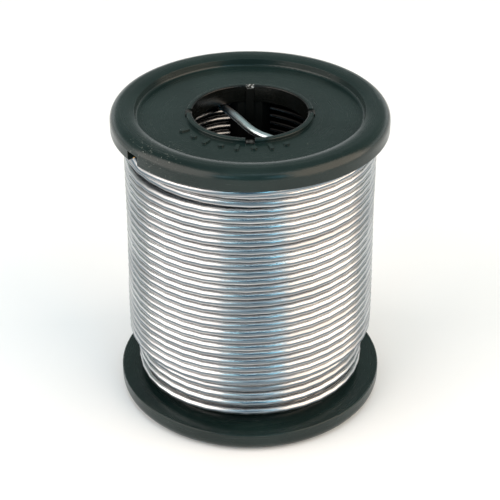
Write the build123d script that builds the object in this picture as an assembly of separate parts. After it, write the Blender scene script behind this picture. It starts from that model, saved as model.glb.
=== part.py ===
from build123d import *
import math
import os

# Solder wire spool: two identical moulded flanges snapped onto a core tube, wound full of soft
# solder wire. The wire starts inside the bore, passes out through a window in the core, fills
# eight layers, and its outer end is tucked into a notch in the top flange's rim.
# Millimetres. Origin at the centre of the plane the spool stands on, +Z along its axis, and -Y
# is the side on which the outer end of the wire is led to its notch.

# ---- driving dimensions -------------------------------------------------------------------
WIRE_D = 1.6
FLANGE_D = 54.0
SPOOL_H = 63.0

# flange
FLANGE_T = 4.0
SHOULDER_R = 2.0          # rounding of the rim's outward edge
CREST_R = 24.2            # radius where the flat crest of the rim begins
RIM_INNER_R = 22.3        # inward edge of the rim, a little below the crest
CROWN_DROP = 0.35
RECESS = 1.8              # depth of the disc below the rim's crest
WALL_DRAFT = 0.3
FOOT_FILLET = 0.5
EDGE_FILLET = 0.25
BORE_R = 11.2
LIP_R = 12.3
LIP_H = 0.75
SPIGOT_R = 12.4
SPIGOT_H = 0.6            # how far the spigot enters the core tube

# raised index marks on the disc
MARK_COUNT = 8
MARK_R = 14.3
MARK_START = 210.0        # degrees, first mark of the arc
MARK_STEP = 12.6
MARK_H = 0.3
BAR_L = 2.1
BAR_W = 0.75
BAR_END_R = 0.33
DOT_R = 0.6

# notch in the rim for the outer end of the wire
NOTCH_AZ = 216.4
NOTCH_W = 3.2
NOTCH_DEPTH = 2.6
NOTCH_H = 2.0

# core tube
CORE_R = 13.4
CORE_BORE_R = 11.5        # a little wider than the flanges' bore
SNAP_AZIMUTHS = (0, 90, 180, 270)
SNAP_W = 1.6
SNAP_T = 0.8
SNAP_GAP = 0.1
SNAP_ROOT = 4.0           # how far a finger runs down the inside of the tube
BARB = 0.5
BARB_H = 0.65
WINDOW_AZIMUTHS = (45, 135, 225, 315)
WINDOW_W = 12.4
WINDOW_H = 13.0

# winding
LAYERS = 8
SHORT_LAYERS = 3          # layers that stop short of the bottom flange
PITCH = 1.66              # turns lie a hair apart
OUTER_TURNS = 27          # turns of the outermost layer
EXPOSED_TURNS = 4         # turns of the layer below that show under it
EXPOSED_PITCH = 1.75
EXPOSED_GAP = 2.95        # from the bottom flange to the centre of the lowest turn that shows
GROOVE = 0.6              # depth of the groove between neighbouring turns
FLUX_D = 0.5              # rosin core inside the wire

# making the shapes
ARC_SHARE = 0.45          # how much of the shorter run a bend of the wire takes
OVERCUT = 1.0             # how far a cutter reaches past what it cuts
TOLERANCE = 0.01

# ---- derived dimensions -------------------------------------------------------------------
FLANGE_R = FLANGE_D / 2
WIRE_R = WIRE_D / 2
FACE_TOP = SPOOL_H - FLANGE_T             # inner face of the top flange
DISC_TOP = SPOOL_H - RECESS
LIP_TOP = DISC_TOP + LIP_H
SEAM_TOP = FACE_TOP - SPIGOT_H            # end of the top spigot
LAYER_STEP = WIRE_D * math.sqrt(3) / 2    # nested layers
OUTER_R = CORE_R + WIRE_D + (LAYERS - 1) * LAYER_STEP
EXPOSED_R = OUTER_R - LAYER_STEP
FULL_R = OUTER_R - SHORT_LAYERS * LAYER_STEP
TURN_TOP = FACE_TOP - PITCH / 2           # centre of the uppermost turn
TURN_LOW = TURN_TOP - (OUTER_TURNS - 1) * PITCH
EXPOSED_LOW = FLANGE_T + EXPOSED_GAP


def polar(radius, azimuth, z):
    """A point given by its distance from the axis, its azimuth in degrees and its height."""
    angle = math.radians(azimuth)
    return Vector(radius * math.cos(angle), radius * math.sin(angle), z)


def radial_box(inner, outer, width, low, high, azimuth):
    """A block that runs outward from the axis at an azimuth."""
    block = Pos((inner + outer) / 2, 0, (low + high) / 2) * Box(outer - inner, width, high - low)
    return Rot(0, 0, azimuth) * block


def revolved(outline):
    return revolve(make_face(Plane.XZ * outline), axis=Axis.Z)


# ---- flange -------------------------------------------------------------------------------
def flange_outline():
    """Half section of the top flange, radius against height."""
    crest_in = (CREST_R, SPOOL_H)
    rim_in = (RIM_INNER_R, SPOOL_H - CROWN_DROP)
    shoulder_top = (FLANGE_R - SHOULDER_R, SPOOL_H)
    shoulder_low = (FLANGE_R, SPOOL_H - SHOULDER_R)
    crown = TangentArc(crest_in, rim_in, tangent=(-1, 0))
    inward = Polyline(
        rim_in,
        (RIM_INNER_R - WALL_DRAFT, DISC_TOP),
        (LIP_R, DISC_TOP),
        (LIP_R, LIP_TOP),
        (BORE_R, LIP_TOP),
        (BORE_R, SEAM_TOP),
        (SPIGOT_R, SEAM_TOP),
        (SPIGOT_R, FACE_TOP),
        (FLANGE_R, FACE_TOP),
        shoulder_low,
    )
    shoulder = TangentArc(shoulder_low, shoulder_top, tangent=(0, 1))
    return Curve() + [crown, inward, shoulder, Line(shoulder_top, crest_in)]


def circle_edges(body, radius, height):
    """The round edges of a turned body at one radius and height."""
    def matches(edge):
        return (
            edge.geom_type == GeomType.CIRCLE
            and abs(edge.radius - radius) < TOLERANCE
            and abs(edge.center(CenterOf.BOUNDING_BOX).Z - height) < TOLERANCE
        )
    return [edge for edge in body.edges() if matches(edge)]


def index_mark(number):
    """One raised mark of the arc on the disc: short radial bars and dots by turns."""
    if number % 2:
        mark = extrude(Circle(DOT_R), MARK_H)
    else:
        mark = extrude(RectangleRounded(BAR_L, BAR_W, BAR_END_R), MARK_H)
    return Rot(0, 0, MARK_START + number * MARK_STEP) * Pos(MARK_R, 0, DISC_TOP) * mark


def snap_slot(azimuth):
    """The way for one snap finger: a slot in the bore wall and a gap in the lip over it."""
    width = SNAP_W + 2 * SNAP_GAP
    deep = BORE_R + SNAP_T + SNAP_GAP
    inner = BORE_R - OVERCUT
    slot = radial_box(inner, deep, width, SEAM_TOP - OVERCUT, DISC_TOP, azimuth)
    gap = radial_box(inner, LIP_R + BARB, width, DISC_TOP, LIP_TOP + OVERCUT, azimuth)
    return slot + gap


def top_flange():
    body = revolved(flange_outline())
    body = fillet(circle_edges(body, RIM_INNER_R - WALL_DRAFT, DISC_TOP), FOOT_FILLET)
    body = fillet(circle_edges(body, FLANGE_R, FACE_TOP), EDGE_FILLET)
    for radius in (LIP_R, BORE_R):
        body = fillet(circle_edges(body, radius, LIP_TOP), EDGE_FILLET)
    for azimuth in SNAP_AZIMUTHS:
        body -= snap_slot(azimuth)
    body -= radial_box(
        FLANGE_R - NOTCH_DEPTH,
        FLANGE_R + OVERCUT,
        NOTCH_W,
        FACE_TOP - OVERCUT,
        FACE_TOP + NOTCH_H,
        NOTCH_AZ,
    )
    for number in range(MARK_COUNT):
        body += index_mark(number)
    return body


def turned_over(body):
    """The same moulding at the other end of the spool, turned over about the X direction."""
    return Pos(0, 0, SPOOL_H) * Rot(180, 0, 0) * body


# ---- core tube ----------------------------------------------------------------------------
def snap_finger(azimuth):
    """A finger beside the bore with a barb that hooks over the edge of the disc."""
    back = BORE_R + SNAP_T
    foot = SEAM_TOP - SNAP_ROOT
    outline = Polyline(
        (BORE_R, foot),
        (back, foot),
        (back, DISC_TOP),
        (back + BARB, DISC_TOP),
        (back + BARB, DISC_TOP + BARB_H / 2),
        (back, DISC_TOP + BARB_H),
        (BORE_R, DISC_TOP + BARB_H / 3),
        close=True,
    )
    finger = extrude(make_face(Plane.XZ * outline), SNAP_W / 2, both=True)
    return Rot(0, 0, azimuth) * finger


def core_tube():
    """A tube with a seat for a spigot, four snap fingers and four windows at each end."""
    middle = Pos(0, 0, SPOOL_H / 2)
    tube = middle * Cylinder(CORE_R, SPOOL_H - 2 * FLANGE_T)
    seat = Pos(0, 0, SEAM_TOP + SPOOL_H / 2) * Cylinder(SPIGOT_R, SPOOL_H)
    tube -= seat
    tube -= turned_over(seat)
    tube -= middle * Cylinder(CORE_BORE_R, 2 * SPOOL_H)
    for azimuth in SNAP_AZIMUTHS:
        finger = snap_finger(azimuth)
        tube += finger
        tube += turned_over(finger)
    for azimuth in WINDOW_AZIMUTHS:
        window = radial_box(
            BORE_R / 2, CORE_R + OVERCUT, WINDOW_W, SEAM_TOP - WINDOW_H, SEAM_TOP, azimuth
        )
        tube -= window
        tube -= turned_over(window)
    return tube


# ---- winding ------------------------------------------------------------------------------
def turn_bulges(crest, first, pitch, count):
    """Outline of turns side by side going up, as (groove, crest, groove) arcs."""
    groove = crest - GROOVE
    arcs = []
    for turn in range(count):
        centre = first + turn * pitch
        low = (groove, centre - pitch / 2)
        high = (groove, centre + pitch / 2)
        arcs.append(ThreePointArc(low, (crest, centre), high))
    return arcs


def solder_winding():
    """The outer shape of the wound wire. The outermost layer leaves a few turns of the layer
    below bare at the bottom, and the last layers stop short of the bottom flange."""
    exposed = turn_bulges(EXPOSED_R, EXPOSED_LOW, EXPOSED_PITCH, EXPOSED_TURNS)
    outer = turn_bulges(OUTER_R, TURN_LOW, PITCH, OUTER_TURNS)
    low_start = exposed[0] @ 0
    step_start = exposed[-1] @ 1
    step_end = outer[0] @ 0
    top_end = outer[-1] @ 1
    below = Polyline(
        top_end,
        (CORE_R, FACE_TOP),
        (CORE_R, FLANGE_T),
        (FULL_R, FLANGE_T),
        (FULL_R, low_start.Y),
        low_start,
    )
    step = Polyline(step_start, (step_start.X, step_end.Y), step_end)
    return revolved(Curve() + exposed + [step] + outer + [below])


# ---- the two ends of the wire -------------------------------------------------------------
# From the cut end in the bore, across it, and out through the window at 135 degrees.
START_ROUTE = [
    (6.1, -4.1, 56.9),
    (2.5, -2.3, 57.0),
    (-0.1, 0.9, 57.1),
    (-2.3, 5.4, 57.1),
    (-4.3, 9.0, 57.1),
    (-6.1, 12.0, 57.1),
]
# The last turn bulges outward, runs close under the flange and turns up into the notch:
# radius, azimuth, height.
FINISH_ROUTE = [
    (24.2, 312.0, 58.0),
    (25.8, 298.0, 58.05),
    (25.8, 282.0, 58.0),
    (25.85, 265.0, 58.05),
    (25.85, 248.0, 57.95),
    (25.8, 234.0, 57.9),
    (25.8, 220.6, 57.85),
    (25.8, 217.4, 58.6),
    (25.75, 215.0, 59.7),
]


def cord_radii(points):
    """Arc radius at each corner: as large as the two runs beside it allow."""
    radii = []
    for before, corner, after in zip(points, points[1:], points[2:]):
        come = corner - before
        go = after - corner
        half_turn = math.radians(come.get_angle(go)) / 2
        radii.append(ARC_SHARE * min(come.length, go.length) / math.tan(half_turn))
    return radii


def cord_path(name, points):
    radii = cord_radii(points)
    print(name, "arc radii", [round(radius, 1) for radius in radii])
    return FilletPolyline(*points, radius=radii)


def rod(path, radius):
    section = Plane(path @ 0, z_dir=path % 0) * Circle(radius)
    return sweep(section, path=path)


def wire_and_flux(name, points, trim):
    """A stretch of wire and the rosin core inside it, both cut by the same shape."""
    path = cord_path(name, points)
    whole = rod(path, WIRE_R)
    print(name, "volume ratio", round(whole.volume / (math.pi * WIRE_R**2 * path.length), 4))
    print(name, "length", round(path.length, 1))
    core = rod(path, FLUX_D / 2)
    wire = trim(whole) - core
    return wire, trim(core)


def inside_core(body):
    """What lies within the winding's inner surface."""
    return body & Pos(0, 0, SPOOL_H / 2) * Cylinder(CORE_R, SPOOL_H)


def outside_winding(body):
    """What lies beyond the crests of the outermost layer."""
    return body - Pos(0, 0, SPOOL_H / 2) * Cylinder(OUTER_R, SPOOL_H)


# ---- parts --------------------------------------------------------------------------------
def write(name, body):
    export_step(body, f"parts/{name}.step")


def main():
    os.makedirs("parts", exist_ok=True)
    flange = top_flange()
    start_wire, start_flux = wire_and_flux(
        "start_tail", [Vector(*point) for point in START_ROUTE], inside_core
    )
    finish_wire, finish_flux = wire_and_flux(
        "finish_end", [polar(*point) for point in FINISH_ROUTE], outside_winding
    )
    write("top_flange", flange)
    write("bottom_flange", turned_over(flange))
    write("core_tube", core_tube())
    write("solder_winding", solder_winding())
    write("start_tail", start_wire)
    write("start_tail_flux", start_flux)
    write("finish_end", finish_wire)
    write("finish_end_flux", finish_flux)


main()
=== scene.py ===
"""Looks of the solder wire spool.

The two flanges and the core stay as the CAD has them and get moulded plastic. The whole length
of the wire is drawn turn by turn, in place of the winding's plain solid and its two ends.
Metres, same frame as the CAD: +Z is the spool's axis and -Y faces the camera. The wire's route
and the places on the spool are given in millimetres.
"""
import math
import random

import bpy
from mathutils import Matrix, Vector


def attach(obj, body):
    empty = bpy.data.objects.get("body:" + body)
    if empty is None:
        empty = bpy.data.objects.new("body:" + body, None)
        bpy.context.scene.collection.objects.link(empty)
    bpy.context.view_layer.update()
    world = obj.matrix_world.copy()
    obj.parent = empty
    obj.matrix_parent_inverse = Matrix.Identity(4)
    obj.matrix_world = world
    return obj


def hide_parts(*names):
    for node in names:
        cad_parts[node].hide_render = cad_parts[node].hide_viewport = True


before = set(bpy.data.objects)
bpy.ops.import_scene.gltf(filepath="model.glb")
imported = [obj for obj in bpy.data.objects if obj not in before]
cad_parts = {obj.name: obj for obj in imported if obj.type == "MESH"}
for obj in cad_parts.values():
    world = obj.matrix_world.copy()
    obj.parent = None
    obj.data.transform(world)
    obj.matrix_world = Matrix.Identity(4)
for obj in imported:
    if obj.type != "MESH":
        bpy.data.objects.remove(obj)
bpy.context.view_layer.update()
rng = random.Random(41)
MM = 0.001


def polar(radius, azimuth, z):
    angle = math.radians(azimuth)
    return Vector((radius * math.cos(angle), radius * math.sin(angle), z))


# ---- camera -------------------------------------------------------------------------------
CAMERA_PLACE = Vector((0, -0.26133, 0.19093))
CAMERA_AIM = Vector((0, 0, 0.02890))
CAMERA_ANGLE = 18.825
CAMERA_SHIFT = (-0.0002, 0.0130)


def turn_towards(obj, target):
    obj.rotation_euler = (target - obj.location).to_track_quat("-Z", "Y").to_euler()


def make_camera():
    data = bpy.data.cameras.new("camera")
    data.angle = math.radians(CAMERA_ANGLE)
    data.shift_x, data.shift_y = CAMERA_SHIFT
    data.clip_start = 0.01
    data.clip_end = 20
    camera = bpy.data.objects.new("camera", data)
    bpy.context.scene.collection.objects.link(camera)
    camera.location = CAMERA_PLACE
    turn_towards(camera, CAMERA_AIM)
    bpy.context.scene.camera = camera


# ---- route of the wire --------------------------------------------------------------------
WIRE_D = 1.6
WIRE_LENGTH = 29.7            # metres, from one cut end to the other
FLUX_D = 0.5
PITCH = 1.66
LAYERS = 8
LAYER_1_R = 14.2              # centre line of the innermost layer
LAYER_STEP = WIRE_D * math.sqrt(3) / 2
EVEN_TOP = 58.17              # centre of the uppermost turn of the even layers
ODD_TOP = EVEN_TOP - PITCH / 2
TURNS = {1: 32, 2: 32, 3: 32, 4: 32, 5: 32, 6: 31, 7: 31, 8: 27}
STEPS = 12                    # control points to a turn
LAST_STEPS = 5                # control points of the last turn before its loose end
SHRINK = 0.9665               # a quadratic spline's radius over that of its control points
FULLNESS = 1.025              # how far a ten-sided section's corners stand out of the round
CROSSOVER = 93.2              # azimuth at which a turn steps over to the next
LOOSE_BELOW = 14.2            # under this height the turns lie a little further apart
LOOSE = 1.09                  # by this factor
UNEVEN_R = 0.02               # how far a point strays from its turn, outward and up or down
UNEVEN_Z = 0.03
WOUND_LOW = 4.0               # the winding's two ends, where its turns are level
WOUND_HIGH = 59.0
TILT = 0.034                  # slope of the turns at mid height, rising towards +X
SLACK = 0.9                   # how far the last full turns are drawn up beside the notch
SLACK_TURNS = 2
SLACK_AZIMUTH = 208.0         # where they are drawn up most, and how far round it reaches
SLACK_SPREAD = 42.0
SAG = 0.45                    # mean sag of the lowest turn, which nothing holds up
LOWEST_TURN = sum(TURNS[layer] for layer in range(1, LAYERS)) - 1
RIDE_UP = 0.25                # how far the outermost layer's lower turns stand proud
RIDE_FROM = 36.0              # the heights where that begins and is complete
RIDE_TO = 24.0

# From the cut end in the bore, across it and out through the core's window.
START_ROUTE = [
    (6.1, -4.1, 57.2),
    (2.5, -2.3, 57.4),
    (-0.1, 0.9, 57.5),
    (-2.3, 5.4, 57.5),
    (-4.3, 9.0, 57.5),
]
# Round the edge of the window to the first turn: a bend about a point, by azimuth about it.
BEND_CENTRE = Vector((-3.87, 11.78, 0))
BEND_R = 1.88
BEND_AZIMUTHS = (194.0, 160.0, 125.4)
# The last turn leaves the one below, runs close under the flange and turns up into the notch:
# radius, azimuth, height.
FINISH_ROUTE = [
    (24.8, 318.0, 58.05),
    (25.0, 302.0, 58.05),
    (25.1, 285.0, 58.1),
    (25.75, 269.0, 58.05),
    (25.8, 252.0, 57.95),
    (25.8, 236.0, 57.9),
    (25.8, 220.6, 57.85),
    (25.9, 217.2, 58.5),
    (26.1, 214.9, 59.75),
]
FINISH_FLUX_POINTS = 7        # the rosin core is drawn along this many of the last points


def drawn_up(azimuth):
    """How far the last full turns have slid up where the wire's end is pulled to its notch."""
    offset = (azimuth - SLACK_AZIMUTH) % 360
    offset = min(offset, 360 - offset)
    return SLACK * math.exp(-((offset / SLACK_SPREAD) ** 2))


def sagged(azimuth):
    """How far the lowest turn hangs down: least at the front, most some way to each side."""
    return SAG * (1 - 0.6 * math.cos(3 * math.radians(azimuth - 270)))


def ridden_up(number, z):
    """How far a turn of the outermost layer lies off the one below: more towards its end."""
    if number <= LOWEST_TURN:
        return 0.0
    return RIDE_UP * min(max((RIDE_FROM - z) / (RIDE_FROM - RIDE_TO), 0), 1)


def tilted(point):
    """The turns aren't quite level: they rise to one side, most of all at mid height."""
    share = math.sin(math.pi * (point.z - WOUND_LOW) / (WOUND_HIGH - WOUND_LOW))
    return point + Vector((0, 0, TILT * share * point.x))


def turn_heights(layer):
    """Heights of a layer's turns in winding order: odd layers go down, even ones come up."""
    top = EVEN_TOP if layer % 2 == 0 else ODD_TOP
    heights = []
    for turn in range(TURNS[layer]):
        z = top - turn * PITCH
        if z < LOOSE_BELOW:
            z = LOOSE_BELOW - (LOOSE_BELOW - z) * LOOSE
        heights.append(z)
    if layer % 2 == 0:
        heights.reverse()
    return heights


def wound_turns():
    """Control points of all turns, clockwise seen from above, layer on layer."""
    turns = []
    for layer in range(1, LAYERS + 1):
        radius = LAYER_1_R + (layer - 1) * LAYER_STEP
        turns += [(radius, z) for z in turn_heights(layer)]
    last = len(turns) - 1
    points = []
    before = turns[0]
    for number, (radius, z) in enumerate(turns):
        steps = STEPS if number < last else LAST_STEPS
        for step in range(steps):
            here_r, here_z = radius, z
            if step == 0:
                here_r, here_z = (radius + before[0]) / 2, (z + before[1]) / 2
            azimuth = CROSSOVER - step * 360 / STEPS
            if last - SLACK_TURNS <= number < last:
                here_z += drawn_up(azimuth)
            if number == LOWEST_TURN:
                here_z -= sagged(azimuth)
            here_r += ridden_up(number, here_z) + rng.uniform(-UNEVEN_R, UNEVEN_R)
            here_z += rng.uniform(-UNEVEN_Z, UNEVEN_Z)
            points.append(tilted(polar(here_r / SHRINK, azimuth, here_z)))
        before = (radius, z)
    return points


def wire_route():
    points = [Vector(point) for point in START_ROUTE]
    points += [BEND_CENTRE + polar(BEND_R, azimuth, ODD_TOP) for azimuth in BEND_AZIMUTHS]
    points += wound_turns()
    points += [polar(*point) for point in FINISH_ROUTE]
    return points


def make_curve(name, points, diameter, steps, rounding):
    """A round wire on a smooth spline through the shape of its control points."""
    data = bpy.data.curves.new(name, "CURVE")
    data.dimensions = "3D"
    data.bevel_depth = diameter / 2 * FULLNESS * MM
    data.bevel_resolution = rounding
    data.use_fill_caps = True
    data.twist_mode = "MINIMUM"
    spline = data.splines.new("NURBS")
    spline.points.add(len(points) - 1)
    for knot, point in zip(spline.points, points):
        knot.co = (*(point * MM), 1)
    spline.order_u = 3
    spline.use_endpoint_u = True
    spline.resolution_u = steps
    obj = bpy.data.objects.new(name, data)
    bpy.context.scene.collection.objects.link(obj)
    return obj


# ---- shader nodes -------------------------------------------------------------------------
class Graph:
    """A tree of shader nodes, built by short calls. Each takes sockets or plain values."""

    def __init__(self, tree):
        self.tree = tree

    def node(self, kind, **settings):
        made = self.tree.nodes.new(kind)
        for key, value in settings.items():
            setattr(made, key, value)
        return made

    def link(self, source, target):
        self.tree.links.new(source, target)

    def feed(self, value, socket):
        if isinstance(value, bpy.types.NodeSocket):
            self.link(value, socket)
        else:
            socket.default_value = value

    def math(self, operation, first, second=0.0):
        made = self.node("ShaderNodeMath", operation=operation)
        self.feed(first, made.inputs[0])
        self.feed(second, made.inputs[1])
        return made.outputs[0]

    def times(self, first, second):
        return self.math("MULTIPLY", first, second)

    def plus(self, first, second):
        return self.math("ADD", first, second)

    def larger(self, first, second):
        return self.math("MAXIMUM", first, second)

    def split(self, vector):
        made = self.node("ShaderNodeSeparateXYZ")
        self.link(vector, made.inputs[0])
        return made.outputs

    def join(self, *parts):
        made = self.node("ShaderNodeCombineXYZ")
        for part, socket in zip(parts, made.inputs):
            self.link(part, socket)
        return made.outputs[0]

    def remap(self, value, low, high, to_low=0.0, to_high=1.0, curve="LINEAR"):
        made = self.node("ShaderNodeMapRange", clamp=True, interpolation_type=curve)
        self.feed(value, made.inputs["Value"])
        made.inputs["From Min"].default_value = low
        made.inputs["From Max"].default_value = high
        made.inputs["To Min"].default_value = to_low
        made.inputs["To Max"].default_value = to_high
        return made.outputs["Result"]

    def mix(self, share, first, second):
        """A blend of two colours, which are a Mix node's sockets 6 and 7, into its output 2."""
        made = self.node("ShaderNodeMix", data_type="RGBA")
        self.feed(share, made.inputs["Factor"])
        self.feed(first, made.inputs[6])
        self.feed(second, made.inputs[7])
        return made.outputs[2]


class Shader(Graph):
    """A procedural material on the surface's own coordinates."""

    def __init__(self, name):
        self.material = bpy.data.materials.new(name)
        self.material.use_nodes = True
        super().__init__(self.material.node_tree)
        self.tree.nodes.clear()
        self.surface = self.node("ShaderNodeBsdfPrincipled")
        output = self.node("ShaderNodeOutputMaterial")
        self.link(self.surface.outputs["BSDF"], output.inputs["Surface"])
        self.coordinates = self.node("ShaderNodeTexCoord").outputs
        self.place = self.coordinates["Object"]

    def noise(self, vector, scale, detail=2.0, roughness=0.5, distortion=0.0):
        made = self.node("ShaderNodeTexNoise")
        self.link(vector, made.inputs["Vector"])
        made.inputs["Scale"].default_value = scale
        made.inputs["Detail"].default_value = detail
        made.inputs["Roughness"].default_value = roughness
        made.inputs["Distortion"].default_value = distortion
        return made.outputs["Fac"]

    def stretched_noise(self, vector, scales, detail, roughness, distortion=0.0):
        """Noise with its own scale along each axis, so that it makes streaks."""
        made = self.node("ShaderNodeMapping")
        self.link(vector, made.inputs["Vector"])
        made.inputs["Scale"].default_value = scales
        return self.noise(made.outputs["Vector"], 1.0, detail, roughness, distortion)

    def bump(self, height, strength, distance, normal=None):
        """Relief some millimetres deep, laid over an earlier normal if there is one."""
        made = self.node("ShaderNodeBump")
        made.inputs["Strength"].default_value = strength
        made.inputs["Distance"].default_value = distance * MM
        self.link(height, made.inputs["Height"])
        if normal is not None:
            self.link(normal, made.inputs["Normal"])
        return made.outputs["Normal"]

    def within(self, value, none, full):
        """0 at the first of two sizes in millimetres, changing evenly to 1 at the second."""
        return self.remap(value, none * MM, full * MM)

    def near(self, point, inner, outer):
        """1 close to a point of the object, fading to 0 at the outer distance."""
        away = self.node("ShaderNodeVectorMath", operation="DISTANCE")
        self.link(self.place, away.inputs[0])
        away.inputs[1].default_value = point * MM
        return self.remap(away.outputs["Value"], inner * MM, outer * MM, 1.0, 0.0)

    def from_axis(self):
        """Distance of the surface from the spool's axis."""
        x, y, _ = self.split(self.place)
        return self.math("SQRT", self.plus(self.times(x, x), self.times(y, y)))

    def set(self, name, value):
        self.feed(value, self.surface.inputs[name])


# ---- plastic ------------------------------------------------------------------------------
HANDLED_SPOT = Vector((-17.0, -17.5, 63.0))       # the rim beside the notch
SCUFFED_SPOT = Vector((-9.0, -23.5, 4.0))         # the lower flange's face, at the front
BACK_BARB = Vector((0.0, 12.2, 61.5))             # the snap barb with the strongest whitening and painted highlight
ARC_R = 0.02                                      # turns an azimuth into a length, in metres
EDGE_WEAR_R = 0.12                                # radius of the worn edges
SCUFF_COLOUR = (0.13, 0.14, 0.13, 1)
DUST_COLOUR = (0.42, 0.43, 0.38, 1)
BORE_SHADE_COLOUR = (0.003, 0.0035, 0.003, 1)
STRAINED_AND_HIGHLIGHT_COLOUR = (0.36, 0.37, 0.36, 1)


def round_the_axis(shader, radius):
    """Coordinates that follow the turned shape: arc length, distance from the axis, height."""
    x, y, z = shader.split(shader.place)
    arc = shader.times(shader.math("ARCTAN2", y, x), ARC_R)
    return shader.join(arc, radius, z)


def scuffs(shader, turned, cloud, handled):
    """Fine scratches round the axis, in some areas and at the two most worn spots."""
    scratches = shader.stretched_noise(turned, (180, 5200, 5200), 4, 0.65, 0.4)
    worn = shader.larger(handled, shader.near(SCUFFED_SPOT, 3, 9))
    where = shader.larger(shader.remap(cloud, 0.48, 0.6), worn)
    return shader.times(shader.remap(scratches, 0.62, 0.72), where)


def dust_specks(shader, fine, handled):
    """Specks of dust: few and in patches anywhere, and more where the rim is handled."""
    patches = shader.noise(shader.place, 110, 2, 0.5)
    scattered = shader.times(shader.remap(fine, 0.77, 0.82), shader.remap(patches, 0.5, 0.62))
    gathered = shader.times(shader.remap(fine, 0.65, 0.72), shader.times(handled, 0.55))
    return shader.larger(scattered, gathered)


def whitened_and_highlit_barbs(shader, fine, radius, whitening_and_highlight):
    """Snap barbs whitened by strain and given a painted highlight: the tips of the core's four
    fingers, one most of all.
    """
    _, _, height = shader.split(shader.place)
    tips = shader.times(shader.within(height, 61.1, 61.5), shader.within(radius, 12.9, 12.6))
    mottled = shader.times(tips, shader.remap(fine, 0.42, 0.6, 0.0, whitening_and_highlight))
    return shader.times(mottled, shader.plus(shader.near(BACK_BARB, 1, 3), 0.12))


def moulded_plastic(name, dark, light, roughness, gloss, specks, whitening_and_highlight):
    """Dark moulded plastic: flow marks, fine grain, scuffs, pale dust and painted shade in the
    bore.
    """
    shader = Shader(name)
    radius = shader.from_axis()
    turned = round_the_axis(shader, radius)
    handled = shader.near(HANDLED_SPOT, 2, 8)
    cloud = shader.noise(shader.place, 70, 4, 0.6)
    flow = shader.stretched_noise(turned, (60, 900, 900), 3, 0.6)
    fine = shader.noise(shader.place, 2300, 2, 0.5)
    scuff_mask = scuffs(shader, turned, cloud, handled)
    dust_mask = dust_specks(shader, fine, handled)
    barb_whitening_and_highlight = whitened_and_highlit_barbs(shader, fine, radius, whitening_and_highlight)

    shade = shader.mix(shader.remap(cloud, 0.35, 0.68), dark, light)
    shade = shader.mix(shader.times(scuff_mask, 0.22), shade, SCUFF_COLOUR)
    shade = shader.mix(shader.times(dust_mask, specks), shade, DUST_COLOUR)
    # painted shade: inside 11.3 mm of the axis the bore is coloured nearly black
    shade = shader.mix(shader.within(radius, 11.3, 11.8), BORE_SHADE_COLOUR, shade)
    # pale barb tips: strain whitening, and a painted highlight strongest at the back barb
    shader.set("Base Color", shader.mix(barb_whitening_and_highlight, shade, STRAINED_AND_HIGHLIGHT_COLOUR))

    rough = shader.remap(flow, 0.3, 0.7, roughness - 0.05, roughness + 0.05)
    shader.set("Roughness", shader.plus(rough, shader.times(scuff_mask, 0.2)))
    shader.set("Specular IOR Level", gloss)

    worn_edge = shader.node("ShaderNodeBevel", samples=6)
    worn_edge.inputs["Radius"].default_value = EDGE_WEAR_R * MM
    dents = shader.noise(shader.place, 450, 3, 0.55)
    grain = shader.noise(shader.place, 7000, 3, 0.6)
    normal = shader.bump(dents, 0.25, 0.12, worn_edge.outputs["Normal"])
    normal = shader.bump(flow, 0.12, 0.04, normal)
    normal = shader.bump(grain, 0.2, 0.01, normal)
    normal = shader.bump(scuff_mask, 0.15, 0.02, normal)
    shader.set("Normal", normal)
    return shader.material


# ---- solder and rosin ---------------------------------------------------------------------
TAIL_HIGHLIGHT_SPOT = Vector((0.5, 0.5, 57.5))             # the tail in the bore, with a painted highlight
SHADED_WINDOW = Vector((9.5, 9.5, 52.0))             # window whose turns get painted shade
NOTCH_SHADE_SPOT = Vector((-20.0, -15.5, 59.0))       # beside the notch, where the wire is painted darker as shade
BRIGHT_SOLDER = (0.58, 0.58, 0.58, 1)
DULL_SOLDER = (0.41, 0.41, 0.42, 1)
NICK_COLOUR = (0.25, 0.24, 0.23, 1)
OXIDE_COLOUR = (0.24, 0.25, 0.26, 1)
WINDOW_SHADE_COLOUR = (0.005, 0.005, 0.005, 1)
TAIL_HIGHLIGHT_COLOUR = (0.84, 0.95, 0.99, 1)
NOTCH_SHADE_COLOUR = (0.20, 0.21, 0.22, 1)
BAND_SHADE_COLOUR = (0.10, 0.145, 0.18, 1)


def along_the_wire(shader):
    """Coordinates that follow the wire: its length, and a circle of its own radius round it."""
    along, around, _ = shader.split(shader.coordinates["UV"])
    turn = shader.times(around, 2 * math.pi)
    across = shader.times(shader.math("COSINE", turn), WIRE_D / 2 * MM)
    upward = shader.times(shader.math("SINE", turn), WIRE_D / 2 * MM)
    return shader.join(shader.times(along, WIRE_LENGTH), across, upward)


def painted_band_shade(shader):
    """Where every turn gets painted shade: its outer side, from a little below level to a little
    above it.
    """
    _, _, slope = shader.split(shader.coordinates["Normal"])
    return shader.times(shader.remap(slope, -0.25, -0.14), shader.remap(slope, 0.34, 0.24))


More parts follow.
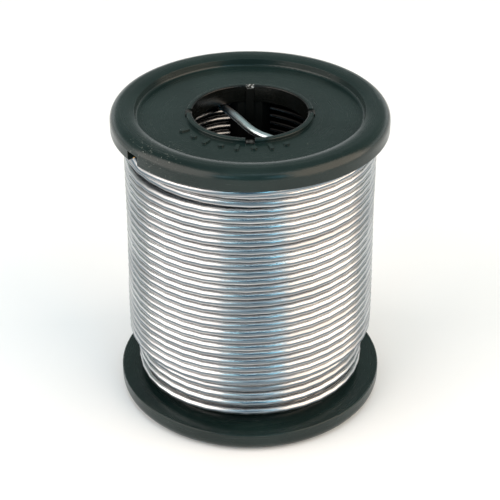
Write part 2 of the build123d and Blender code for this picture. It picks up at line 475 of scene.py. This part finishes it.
def solder_metal(name):
    """Bright drawn tin-lead: lines along the wire, soft dents, nicks and patches of oxide.
    The turns on the core are dull with oxide and painted shade at one window, the tail in the
    bore gets a painted highlight, the wire beside the notch gets painted shade, and each turn
    gets painted bluish shade along its outer side."""
    shader = Shader(name)
    wire_place = along_the_wire(shader)
    lines = shader.stretched_noise(wire_place, (120, 9000, 9000), 3, 0.6)
    dents = shader.stretched_noise(wire_place, (350, 900, 900), 2, 0.5)
    patches = shader.stretched_noise(wire_place, (45, 500, 500), 3, 0.6)
    dull = shader.remap(patches, 0.38, 0.64)
    nick_mask = shader.remap(shader.noise(shader.place, 2600, 2, 0.5), 0.76, 0.8)
    radius = shader.from_axis()
    innermost = shader.times(shader.within(radius, 12.8, 13.4), shader.within(radius, 17, 16))
    tail_highlight = shader.near(TAIL_HIGHLIGHT_SPOT, 7, 10)
    notch_shade = shader.near(NOTCH_SHADE_SPOT, 3, 11)

    shade = shader.mix(dull, BRIGHT_SOLDER, DULL_SOLDER)
    shade = shader.mix(shader.times(nick_mask, 0.6), shade, NICK_COLOUR)
    # the inner turns get the oxide colour, and painted shade, nearly black, near one window
    oxide_and_window_shade = shader.mix(shader.near(SHADED_WINDOW, 9, 12), OXIDE_COLOUR, WINDOW_SHADE_COLOUR)
    shade = shader.mix(innermost, shade, oxide_and_window_shade)
    # painted highlight and reflection: the tail in the bore is coloured near-white and bluish
    shade = shader.mix(tail_highlight, shade, TAIL_HIGHLIGHT_COLOUR)
    # painted shade: the wire beside the notch is darkened
    shade = shader.mix(shader.times(notch_shade, 0.8), shade, NOTCH_SHADE_COLOUR)
    # painted shade, tinted blue-grey, along the outer side of every turn
    shade = shader.mix(shader.times(painted_band_shade(shader), 0.84), shade, BAND_SHADE_COLOUR)
    shader.set("Base Color", shade)
    shader.set("Metallic", 1.0)

    rough = shader.plus(shader.remap(lines, 0.3, 0.7, 0.17, 0.26), shader.times(dull, 0.08))
    worn = shader.times(shader.larger(tail_highlight, notch_shade), 0.12)
    shader.set("Roughness", shader.plus(rough, worn))

    normal = shader.bump(dents, 0.35, 0.08)
    normal = shader.bump(lines, 0.25, 0.01, normal)
    normal = shader.bump(nick_mask, -0.3, 0.03, normal)
    shader.set("Normal", normal)
    return shader.material


def rosin(name):
    """Clear amber flux with cloudy streaks."""
    shader = Shader(name)
    cloud = shader.noise(shader.place, 3500, 3, 0.6)
    share = shader.remap(cloud, 0.35, 0.65)
    shader.set("Base Color", shader.mix(share, (0.45, 0.19, 0.03, 1), (0.66, 0.38, 0.10, 1)))
    shader.set("Roughness", shader.remap(cloud, 0.3, 0.7, 0.12, 0.3))
    shader.set("Normal", shader.bump(cloud, 0.3, 0.03))
    return shader.material


def floor_paper(name):
    """Pale matt paper, very slightly uneven in tone."""
    shader = Shader(name)
    cloud = shader.noise(shader.place, 30, 3, 0.5)
    shader.set("Base Color", shader.mix(cloud, (0.83, 0.83, 0.83, 1), (0.86, 0.86, 0.86, 1)))
    shader.set("Roughness", 0.75)
    return shader.material


def paint(obj, material):
    obj.data.materials.clear()
    obj.data.materials.append(material)


# ---- the object ---------------------------------------------------------------------------
make_camera()
route = wire_route()
wire = make_curve("solder_wire", route, WIRE_D, steps=3, rounding=3)
start_flux = make_curve(
    "start_tail_rosin", route[:len(START_ROUTE)], FLUX_D, steps=6, rounding=2
)
finish_flux = make_curve(
    "finish_end_rosin", route[-FINISH_FLUX_POINTS:], FLUX_D, steps=6, rounding=2
)

flange_plastic = moulded_plastic(
    "flange_plastic",
    dark=(0.0045, 0.0115, 0.0105, 1),
    light=(0.009, 0.019, 0.0175, 1),
    roughness=0.25,
    gloss=0.33,
    specks=0.8,
    whitening_and_highlight=0,
)
# the core's colours are darker and greyer than the flanges': painted shade for the inside of the
# bore
core_plastic = moulded_plastic(
    "core_plastic",
    dark=(0.003, 0.004, 0.0035, 1),
    light=(0.005, 0.006, 0.0055, 1),
    roughness=0.55,
    gloss=0.15,
    specks=0.3,
    whitening_and_highlight=0.9,
)
amber = rosin("rosin_amber")
paint(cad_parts["top_flange"], flange_plastic)
paint(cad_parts["bottom_flange"], flange_plastic)
paint(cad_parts["core_tube"], core_plastic)
paint(wire, solder_metal("solder_metal"))
paint(start_flux, amber)
paint(finish_flux, amber)

for piece in (wire, start_flux, finish_flux):
    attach(piece, "root")
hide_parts("solder_winding", "start_tail", "finish_end")
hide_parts("start_tail_flux")
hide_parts("finish_end_flux")

# ---- floor and light ----------------------------------------------------------------------
FLOOR_HALF = 3.0
FLOOR_GAP = 0.0001            # keeps the floor clear of the rim that stands on it
BEHIND_LOW = (1.20, 1.26, 1.26, 1)
BEHIND_HIGH = (0.29, 0.35, 0.335, 1)
BESIDE = (0.20, 0.215, 0.22, 1)
IN_FRONT = (0.03, 0.12, 0.20, 1)
OVERHEAD = (0.25, 0.29, 0.31, 1)


def make_floor():
    mesh = bpy.data.meshes.new("floor")
    low, high = -FLOOR_HALF, FLOOR_HALF
    corners = [(low, low, 0), (high, low, 0), (high, high, 0), (low, high, 0)]
    mesh.from_pydata(corners, [], [(0, 1, 2, 3)])
    floor = bpy.data.objects.new("floor", mesh)
    bpy.context.scene.collection.objects.link(floor)
    floor.location.z = -FLOOR_GAP
    paint(floor, floor_paper("floor_paper"))


def soft_box(name, azimuth, distance, height, size, watts, colour, aim_height=0.03):
    """A flat light of some width and height, turned towards a point on the spool's axis."""
    data = bpy.data.lights.new(name, "AREA")
    data.shape = "RECTANGLE"
    data.size, data.size_y = size
    data.energy = watts
    data.color = colour
    light = bpy.data.objects.new(name, data)
    bpy.context.scene.collection.objects.link(light)
    light.location = polar(distance, azimuth, height)
    turn_towards(light, Vector((0, 0, aim_height)))
    return light


def studio_world():
    """A dim room: blue-grey in front, grey beside and overhead, and a bright low band behind."""
    world = bpy.data.worlds.new("studio")
    bpy.context.scene.world = world
    world.use_nodes = True
    graph = Graph(world.node_tree)

    def blend(value, low, high, first, second):
        return graph.mix(graph.remap(value, low, high, curve="SMOOTHSTEP"), first, second)

    _, y, z = graph.split(graph.node("ShaderNodeTexCoord").outputs["Generated"])
    level = graph.math("SQRT", graph.math("SUBTRACT", 1.0001, graph.times(z, z)))
    front = graph.math("DIVIDE", graph.times(y, -1.0), level)
    behind = blend(z, 0.12, 0.34, BEHIND_LOW, BEHIND_HIGH)
    room = blend(front, -0.4, 0.3, behind, BESIDE)
    room = blend(front, 0.80, 0.95, room, IN_FRONT)
    room = blend(z, 0.75, 0.97, room, OVERHEAD)
    graph.link(room, world.node_tree.nodes["Background"].inputs["Color"])


def studio_lights():
    """Two warm boxes at the sides, three bluish strips in front and a light for the floor."""
    box = {"distance": 0.8, "height": 0.6, "size": (1.1, 1.2), "aim_height": 0.6}
    soft_box("box_right", 336, watts=13.4, colour=(1.0, 0.82, 0.66), **box)
    soft_box("box_left", 206, watts=12.9, colour=(1.0, 0.91, 0.84), **box)
    soft_box("strip_left", 250, 0.85, 0.42, (0.2, 0.3), 0.42, (0.45, 0.85, 1.0))
    soft_box("strip_right", 293, 0.85, 0.40, (0.15, 0.4), 0.5, (0.25, 0.75, 1.0))
    soft_box("strip_above", 284, 0.5, 0.776, (0.5, 0.10), 0.52, (0.65, 0.88, 1.0))
    floor_light = soft_box("floor_light", 90, 0.1, 1.4, (1.2, 1.2), 8.6, (0.92, 0.97, 1.0))
    floor_light.visible_glossy = False


make_floor()
studio_lights()
studio_world()
bpy.context.scene.view_settings.view_transform = "Standard"
